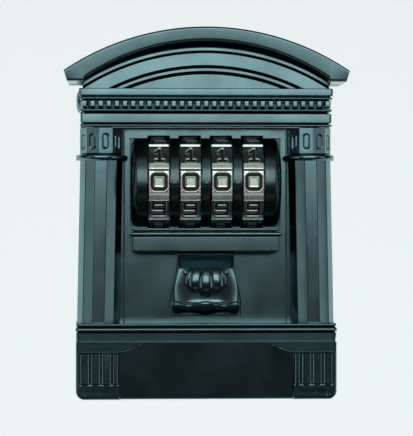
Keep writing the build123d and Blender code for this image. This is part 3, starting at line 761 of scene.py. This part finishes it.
class KEYBOX_OT_barrel(bpy.types.Operator):
    """Make the barrel round the dials, its flange, and the three index marks"""
    bl_idname = "keybox.barrel"
    bl_label = "Dial barrel"

    def execute(self, context):
        gap = settings().barrel_gap
        outer, inner = 15.9, 13.9
        shapes = []
        for left, right in zip(WHEEL_X[:-1], WHEEL_X[1:]):
            low, high = left + WHEEL_HALF + gap, right - WHEEL_HALF - gap
            section = np.array([
                (low, inner), (low, outer - 0.2), (low + 0.08, outer - 0.06), (low + 0.25, outer),
                (high - 0.25, outer), (high - 0.08, outer - 0.06), (high, outer - 0.2), (high, inner)])
            shapes.append(barrel_band(section))
            centre = ((low + high) / 2, AXIS_Y - outer + 0.1, AXIS_HEIGHT - 0.3)
            shapes.append(pad(centre, 1.2, 0.75, 0.95, 0.6, power=6.0))
        end = 26.0
        turn = np.linspace(0, math.pi / 2, 12)
        shoulder = np.stack([end - 2.8 + 2.8 * np.sin(turn), outer - 4.4 + 4.4 * np.cos(turn)], 1)
        for side in (-1, 1):
            start = WHEEL_X[-1] + WHEEL_HALF + gap
            lip = [(start, inner), (start, outer - 0.2), (start + 0.08, outer - 0.06), (start + 0.25, outer)]
            section = np.concatenate([lip, shoulder, [(end, 1.0), (end - 2.0, 1.0), (end - 2.0, inner)]])
            section[:, 0] *= side
            shapes.append(barrel_band(section))
        flange = cut_copy("dial_housing", -37.55)
        make_piece("dial_barrel", shapes, "door", "black_housing", ("dial_housing",), extra=flange)
        return {"FINISHED"}


CELL = math.pi / 5  # the turn that one digit takes up

# Strokes of each digit, as segments of a box two wide and two high: x, height to x, height.
STROKES = {
    1: [(-0.55, 0.55, 0.1, 1.0), (0.1, 1.0, 0.1, -1.0), (-0.55, -1.0, 0.75, -1.0)],
    2: [(-1, 1, 1, 1), (1, 1, 1, 0), (1, 0, -1, 0), (-1, 0, -1, -1), (-1, -1, 1, -1)],
    3: [(-1, 1, 1, 1), (1, 1, 1, -1), (-0.6, 0, 1, 0), (-1, -1, 1, -1)],
    4: [(-1, 1, -1, 0), (-1, 0, 1, 0), (0.55, 1, 0.55, -1)],
    5: [(1, 1, -1, 1), (-1, 1, -1, 0), (-1, 0, 1, 0), (1, 0, 1, -1), (1, -1, -1, -1)],
    6: [(1, 1, -1, 1), (-1, 1, -1, -1), (-1, -1, 1, -1), (1, -1, 1, 0), (1, 0, -1, 0)],
    7: [(-1, 1, 1, 1), (1, 1, 0, -1)],
    8: [(-1, 1, 1, 1), (1, 1, 1, -1), (1, -1, -1, -1), (-1, -1, -1, 1), (-1, 0, 1, 0)],
    9: [(1, 0, -1, 0), (-1, 0, -1, 1), (-1, 1, 1, 1), (1, 1, 1, -1), (1, -1, -1, -1)],
}


def digit_distance(digit, across, upward):
    """Distance outside a digit's strokes, in millimetres: a rounded frame for nought, capsules for the others."""
    if digit == 0:
        half_x, half_height, corner = 2.4, 2.5, 1.1
        past_x = np.abs(across) - half_x + corner
        past_height = np.abs(upward) - half_height + corner
        outside = np.hypot(np.maximum(past_x, 0), np.maximum(past_height, 0))
        inside = np.minimum(np.maximum(past_x, past_height), 0)
        return np.abs(outside + inside - corner) - 0.52
    nearest = np.full(np.broadcast(across, upward).shape, 9.0)
    for x_1, height_1, x_2, height_2 in STROKES[digit]:
        start_x, start_height = 2.0 * x_1, 2.35 * height_1
        run_x, run_height = 2.0 * (x_2 - x_1), 2.35 * (height_2 - height_1)
        share = (across - start_x) * run_x + (upward - start_height) * run_height
        share = unit(share / (run_x ** 2 + run_height ** 2))
        miss = np.hypot(across - start_x - share * run_x, upward - start_height - share * run_height)
        nearest = np.minimum(nearest, miss)
    return nearest - 0.5


def stroke_distance(across, turn):
    """Distance outside the strokes of the digit in each point's cell, from its place across and round the wheel."""
    cell = np.round(turn / CELL)
    upward = 16.0 * (turn - cell * CELL)
    distance = np.full(np.broadcast(across, turn).shape, 9.0)
    for digit in range(10):
        distance = np.where(np.mod(cell, 10) == digit, digit_distance(digit, across, upward), distance)
    return distance


def ink_at(distance):
    """How inked a point of the wheel's face is, from 0 to 1, fading over 0.16 mm at a stroke's edge."""
    return unit(0.5 - distance / 0.16)


def wheel_shape(x):
    """A wheel's rim: flat faces with engraved digits between ten raised bars, and chamfered edges."""
    turn = np.linspace(-math.pi, math.pi, 720, endpoint=False)[:, None]
    half = WHEEL_HALF
    across = np.linspace(-(half - 0.3), half - 0.3, 50)[None]
    cell = turn / CELL
    lean = (cell - np.round(cell)) * math.pi / 5
    from_bar = math.pi / 10 - np.abs(lean)
    bar = unit((math.radians(3.3) - from_bar) / math.radians(0.5))
    crease = np.exp(-((from_bar - math.radians(4.3)) / math.radians(0.5)) ** 2)
    face = 15.85 / np.cos(lean) - 0.22 * crease
    radius = face + (WHEEL_RADIUS - face) * bar
    distance = stroke_distance(across, turn)
    ink = ink_at(distance) * (1 - bar)
    lip = np.exp(-((distance - 0.32) / 0.12) ** 2) * (1 - bar)
    outer = radius - settings().digit_depth * ink + 0.07 * lip
    bore = 0 * turn + 12.6
    shoulder = [radius - 0.9, radius - 0.28, radius - 0.08]
    rim = np.concatenate([bore, *shoulder, outer, *shoulder[::-1], bore], 1)
    places = np.concatenate([[-half, -half, -half, -half + 0.1], across[0], [half - 0.1, half, half, half]])[None]
    y = AXIS_Y - rim * np.cos(turn)
    height = AXIS_HEIGHT + rim * np.sin(turn)
    return ring(np.stack([x + places + 0 * turn, y, height], -1))


class KEYBOX_OT_wheels(bpy.types.Operator):
    """Make the four digit wheels"""
    bl_idname = "keybox.wheels"
    bl_label = "Digit wheels"

    def execute(self, context):
        def hub_only(points):
            y, z = points[:, 1] - AXIS_Y * 0.001, points[:, 2] - FOOT - AXIS_HEIGHT * 0.001
            radius = np.maximum(np.hypot(y, z), 1e-9)
            shrink = np.minimum(radius, 0.0128) / radius
            points[:, 1] = AXIS_Y * 0.001 + y * shrink
            points[:, 2] = FOOT + AXIS_HEIGHT * 0.001 + z * shrink
            return points

        for number, x in enumerate(WHEEL_X, 1):
            hub = cut_copy(f"dial_wheel_{number}", -90.0, hub_only)
            wheel = make_piece(f"digit_wheel_{number}", [wheel_shape(x)], f"dial_{number}", "chrome",
                               (f"dial_wheel_{number}",), sharp=40.0, extra=hub)
            mesh = wheel.data
            points = np.zeros(len(mesh.vertices) * 3)
            mesh.vertices.foreach_get("co", points)
            points = points.reshape(-1, 3)
            y, z = points[:, 1] * 1000 - AXIS_Y, (points[:, 2] - FOOT) * 1000 - AXIS_HEIGHT
            turn, across = np.arctan2(z, -y), points[:, 0] * 1000 - x
            on_face = (np.hypot(y, z) > 15.2) & (np.abs(across) < WHEEL_HALF - 0.2)
            ink = mesh.attributes.new("ink", "FLOAT", "POINT")
            amount = np.where(on_face, ink_at(stroke_distance(across, turn)), 0.0)
            ink.data.foreach_set("value", amount.astype(np.float32))
        return {"FINISHED"}


# ---- Release bracket ----

def bracket_front():
    """The bracket's face: a sunk neck over a body that swells sideways and forwards by sines of its height."""
    heights = np.concatenate([np.linspace(33.0, 44.6, 44), [44.75, 44.85, 44.95, 45.1], np.linspace(45.4, 49.2, 12)])
    heights = heights[:, None]
    share = unit((45 - heights) / 11.6)
    half = 9.65 + 1.55 * np.sin(2.1 * share)
    across = np.sin(np.linspace(-math.pi / 2, math.pi / 2, 71))[None]
    body = unit((45.0 - heights) / 0.3)
    fall = -46.2 + 0.7 * share * (1 - 2.4 * np.abs(across) ** 4)
    swell = fall - 0.9 * (1 - np.abs(across) ** 3.0)
    dish = 0.3 * np.exp(-((across / 0.55) ** 6)) * np.sin(math.pi * share) ** 0.5
    neck = -46.4 + 3.6 * unit((49.2 - heights) / 4.2) - 0.9 * unit((np.abs(across) - 0.9) / 0.07)
    y = (swell + dish) * body + neck * (1 - body)
    rim = 1.6 * (1 - np.sqrt(unit(1 - unit((np.abs(across) - 0.94) / 0.06) ** 2)))
    return np.stack([half * across, y + rim, heights + 0 * across], -1)


class KEYBOX_OT_bracket(bpy.types.Operator):
    """Make the release bracket: its body, shell ornament and turned spindle"""
    bl_idname = "keybox.bracket"
    bl_label = "Release bracket"

    def execute(self, context):
        x = np.linspace(-11.75, 11.75, 81)
        radius = np.where(np.abs(x) < 6.4, 1.45 + 1.3 * (1 + np.cos(math.pi * x / 6.4)) / 2,
                          1.45 + 0.85 * unit((np.abs(x) - 6.4) / 3.0) ** 1.3)
        close = unit((np.abs(x) - 10.4) / 1.35)
        radius = np.maximum(radius * np.sqrt(unit(1 - close ** 2.6)), 0.05)
        spindle = turned((0.0, -44.3, 30.8), np.stack([x, radius], 1), count=48, along="x")
        spindle[0][:, 1] -= 0.9 * (spindle[0][:, 2] - 30.8)
        profile = np.concatenate([level(29.4, 29.4, -0.4), level(29.6, 33.4, 0.0)])
        stem = stack(10.4, -43.9, PANEL_FRONT + 1.2, profile, corner=0.8)
        rear = cut_copy("release_button", -40.0)
        # Known fault: at full push the back of the face, not of the stem, goes 0.5 mm into the lock bar.
        shapes = [slab(bracket_front(), PANEL_FRONT + 1.2), spindle, stem]
        look = ("button", "painted_casting", ("release_button",))
        make_piece("release_bracket", shapes, *look, sharp=40.0, extra=rear)
        lobes = [dome((0.0, -46.5, 39.7), 3.4, 5.1, 2.9, 0.0)]
        for side in (-1, 1):
            lobes.append(dome((side * 3.5, -46.3, 40.2), 3.0, 4.3, 2.0, side * -0.12))
            lobes.append(dome((side * 5.2, -46.1, 41.0), 2.2, 3.4, 1.3, side * -0.25))
            lobes.append(dome((side * 7.1, -45.9, 43.2), 1.1, 1.4, 1.2, side * 0.5))
        make_piece("shell_ornament", lobes, *look, sharp=60.0)
        return {"FINISHED"}


class KEYBOX_OT_springs(bpy.types.Operator):
    """Make the button's and the lock bar's coil springs"""
    bl_idname = "keybox.springs"
    bl_label = "Springs"

    def execute(self, context):
        low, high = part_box("button_springs")
        radius = 500.0 * (high.z - low.z)
        height = 500.0 * (low.z + high.z) - 1000.0 * FOOT
        shapes = []
        for side in (-1, 1):
            x = side * (1000.0 * high.x - radius)
            shapes.append(coil((x, 1000.0 * low.y, height), (x, 1000.0 * high.y, height), radius, 0.26, 9.0))
        piece = make_piece("button_coils", shapes, "door", "spring_steel", ("button_springs",), sharp=70.0)
        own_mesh(piece)
        low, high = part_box("lock_bar_springs")
        radius = 500.0 * (high.y - low.y)
        y = 500.0 * (low.y + high.y)
        shapes = []
        for side in (-1, 1):
            x = side * (1000.0 * high.x - radius)
            shapes.append(coil((x, y, 1000.0 * (low.z - FOOT)), (x, y, 1000.0 * (high.z - FOOT)), radius, 0.24, 9.0))
        piece = make_piece("lock_bar_coils", shapes, "door", "spring_steel", ("lock_bar_springs",), sharp=70.0)
        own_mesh(piece)
        return {"FINISHED"}


# ---- Pieces that keep their CAD shape ----

class KEYBOX_OT_plain_parts(bpy.types.Operator):
    """Give the casing and the inner parts their finishes"""
    bl_idname = "keybox.plain_parts"
    bl_label = "Casing and inner parts"

    def execute(self, context):
        for part in frame["record"]["subparts"]:
            node = frame["nodes"][part["node"]]
            finish = bpy.data.materials[FINISH_OF_SLOT[part["material_slot"]]]
            if not node.material_slots:
                node.data.materials.append(finish)
            for slot in node.material_slots:
                slot.material = finish
        return {"FINISHED"}


# ---- Stage ----

def area_light(name, place, aim, wide, high, power, tint=(1.0, 1.0, 1.0)):
    """A rectangular soft light at place, pointing at aim."""
    data = bpy.data.lights.new(name, "AREA")
    data.shape = "RECTANGLE"
    data.size, data.size_y = wide, high
    data.energy = power
    data.color = tint
    light = add_object(name, data)
    light.location = place
    light.rotation_euler = (Vector(aim) - Vector(place)).to_track_quat("-Z", "Y").to_euler()
    light.visible_camera = False


class KEYBOX_OT_stage(bpy.types.Operator):
    """Make the pale sweep, the lights and the camera"""
    bl_idname = "keybox.stage"
    bl_label = "Stage"

    def execute(self, context):
        values = settings()
        run = np.linspace(0, 1, 60)[:, None]
        y = np.interp(run, [0, 0.5, 1], [-0.08, 1.0, 1.4])
        z = FOOT - 0.32 + 1.9 * unit((run - 0.45) / 0.55) ** 2.2
        x = np.linspace(-4.5, 4.5, 24)[None]
        grid = np.stack([x + 0 * run, y + 0 * x, z + 0 * x], -1)
        mesh = bpy.data.meshes.new("pale_sweep")
        mesh.from_pydata(grid.reshape(-1, 3).tolist(), [], grid_quads(60, 24).tolist())
        mesh.shade_smooth()
        sweep = add_object("pale_sweep", mesh)
        material = bpy.data.materials.new("Pale card")
        material.use_nodes = True
        shader = material.node_tree.nodes["Principled BSDF"]
        shader.inputs["Base Color"].default_value = (0.55, 0.59, 0.59, 1)
        shader.inputs["Roughness"].default_value = 0.9
        shader.inputs["Emission Color"].default_value = (0.84, 0.90, 0.90, 1)
        shader.inputs["Emission Strength"].default_value = 0.78
        mesh.materials.append(material)

        world = bpy.data.worlds.new("Dim room")
        world.use_nodes = True
        world.node_tree.nodes["Background"].inputs["Color"].default_value = (0.016, 0.017, 0.017, 1)
        bpy.context.scene.world = world

        aim = (0.0, -0.05, 0.012)
        area_light("front softbox", (-0.05, -1.25, 0.435), (-0.05, -0.05, 0.435), 1.3, 0.74, values.light)
        area_light("near softbox", (0.0, -0.36, 0.285), (0.0, -0.05, 0.06), 0.8, 0.33, 0.05 * values.light)
        area_light("low card", (0.0, -0.75, -0.50), aim, 0.7, 0.12, 0.05)
        area_light("left card", (-0.78, -0.50, 0.05), aim, 0.35, 0.8, 0.42)
        area_light("right card", (0.78, -0.50, 0.05), aim, 0.35, 0.8, 0.46)

        data = bpy.data.cameras.new("camera")
        data.lens = values.lens
        camera = add_object("camera", data)
        turn, distance = math.radians(2.4), 0.65
        camera.location = (aim[0] - distance * math.sin(turn), aim[1] - distance * math.cos(turn), aim[2])
        camera.rotation_euler = (Vector(aim) - camera.location).to_track_quat("-Z", "Y").to_euler()
        bpy.context.scene.camera = camera
        bpy.context.scene.view_settings.view_transform = "Standard"
        return {"FINISHED"}


class KEYBOX_PT_panel(bpy.types.Panel):
    """The key box's settings and the buttons that build it"""
    bl_label = "Key Box"
    bl_idname = "KEYBOX_PT_panel"
    bl_space_type = "VIEW_3D"
    bl_region_type = "UI"
    bl_category = "Key Box"

    def draw(self, context):
        for name in KeyBoxSettings.__annotations__:
            self.layout.prop(context.scene.key_box, name)
        for operator in OPERATORS:
            self.layout.operator(operator.bl_idname)


OPERATORS = (
    KEYBOX_OT_finishes, KEYBOX_OT_plain_parts, KEYBOX_OT_door_shell, KEYBOX_OT_roof, KEYBOX_OT_entablature,
    KEYBOX_OT_columns, KEYBOX_OT_base, KEYBOX_OT_sill, KEYBOX_OT_barrel, KEYBOX_OT_wheels, KEYBOX_OT_bracket,
    KEYBOX_OT_springs, KEYBOX_OT_stage)


def register():
    """Registers the settings, the operators and the panel."""
    for item in (KeyBoxSettings, *OPERATORS, KEYBOX_PT_panel):
        bpy.utils.register_class(item)
    bpy.types.Scene.key_box = bpy.props.PointerProperty(type=KeyBoxSettings)


def unregister():
    """Takes away everything that register added."""
    del bpy.types.Scene.key_box
    for item in reversed((KeyBoxSettings, *OPERATORS, KEYBOX_PT_panel)):
        bpy.utils.unregister_class(item)


def main():
    register()
    for operator in OPERATORS:
        group, name = operator.bl_idname.split(".")
        getattr(getattr(bpy.ops, group), name)()


if __name__ == "__main__":
    main()
